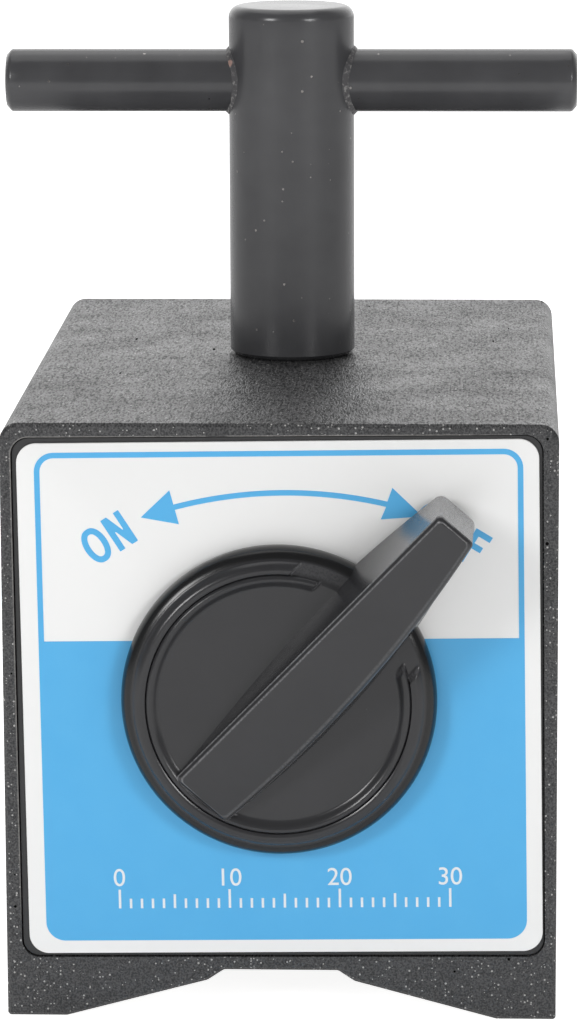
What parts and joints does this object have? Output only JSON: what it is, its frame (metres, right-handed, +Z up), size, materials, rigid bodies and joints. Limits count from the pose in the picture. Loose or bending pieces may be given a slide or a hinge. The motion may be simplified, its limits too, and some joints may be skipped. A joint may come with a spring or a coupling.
{
  "type": "switchable magnetic base",
  "caption": "Switchable magnetic base: a steel block with a vee underside, an ON/OFF knob on the front that turns the magnet inside, and a welded cross-handle on top.",
  "frame": {"origin": "on the base plane, in the middle of the block's width and depth, at the mount vee_seat", "axes": "+X right seen from the knob's side, +Y from the knob's side to the rear, +Z up"},
  "size_m": [0.0546, 0.0842, 0.0886],
  "materials": {
    "body_paint": "black grained paint on soft iron",
    "spacer_brass": "brazed non-magnetic strip, ground",
    "cover_enamel": "smooth black enamel",
    "label_print": "printed sheet, white and blue",
    "knob_moulding": "moulded satin black",
    "black_oxide_steel": "turned steel, black oxide",
    "weld_metal": "blackened weld",
    "zinc_steel": "zinc plated",
    "bush_brass": "turned",
    "felt": "pressed felt",
    "spring_steel": "hardened steel",
    "rotor_aluminium": "turned",
    "ferrite": "sintered ferrite",
    "soft_iron": "machined soft iron"
  },
  "bodies": {
    "base": {"pole_left": "body_paint", "pole_right": "body_paint", "spacer_bottom": "spacer_brass", "spacer_top": "body_paint", "front_cover": "cover_enamel", "front_cover_screws": "zinc_steel", "label_plate": "label_print", "rear_cover": "cover_enamel", "rear_cover_screws": "zinc_steel", "front_bush": "bush_brass", "rear_bush": "bush_brass", "spindle_seal": "felt", "stop_pin": "spring_steel", "disc_spring": "spring_steel", "handle_post": "black_oxide_steel", "cross_bar": "black_oxide_steel", "weld_beads": "weld_metal"},
    "rotor": {"knob": "knob_moulding", "rotor_front_disc": "rotor_aluminium", "rotor_rear_disc": "rotor_aluminium", "thrust_washer": "bush_brass", "magnet": "ferrite", "rotor_pole_upper": "soft_iron", "rotor_pole_lower": "soft_iron", "rotor_side_strips": "rotor_aluminium", "rotor_tie_rods": "rotor_aluminium"}
  },
  "joints": [
    {"name": "knob_turn", "type": "hinge", "parent": "base", "child": "rotor", "pos_m": [0, -0.0365, 0.03], "axis": [0, -1, 0], "range_deg": [0, 90]}
  ]
}
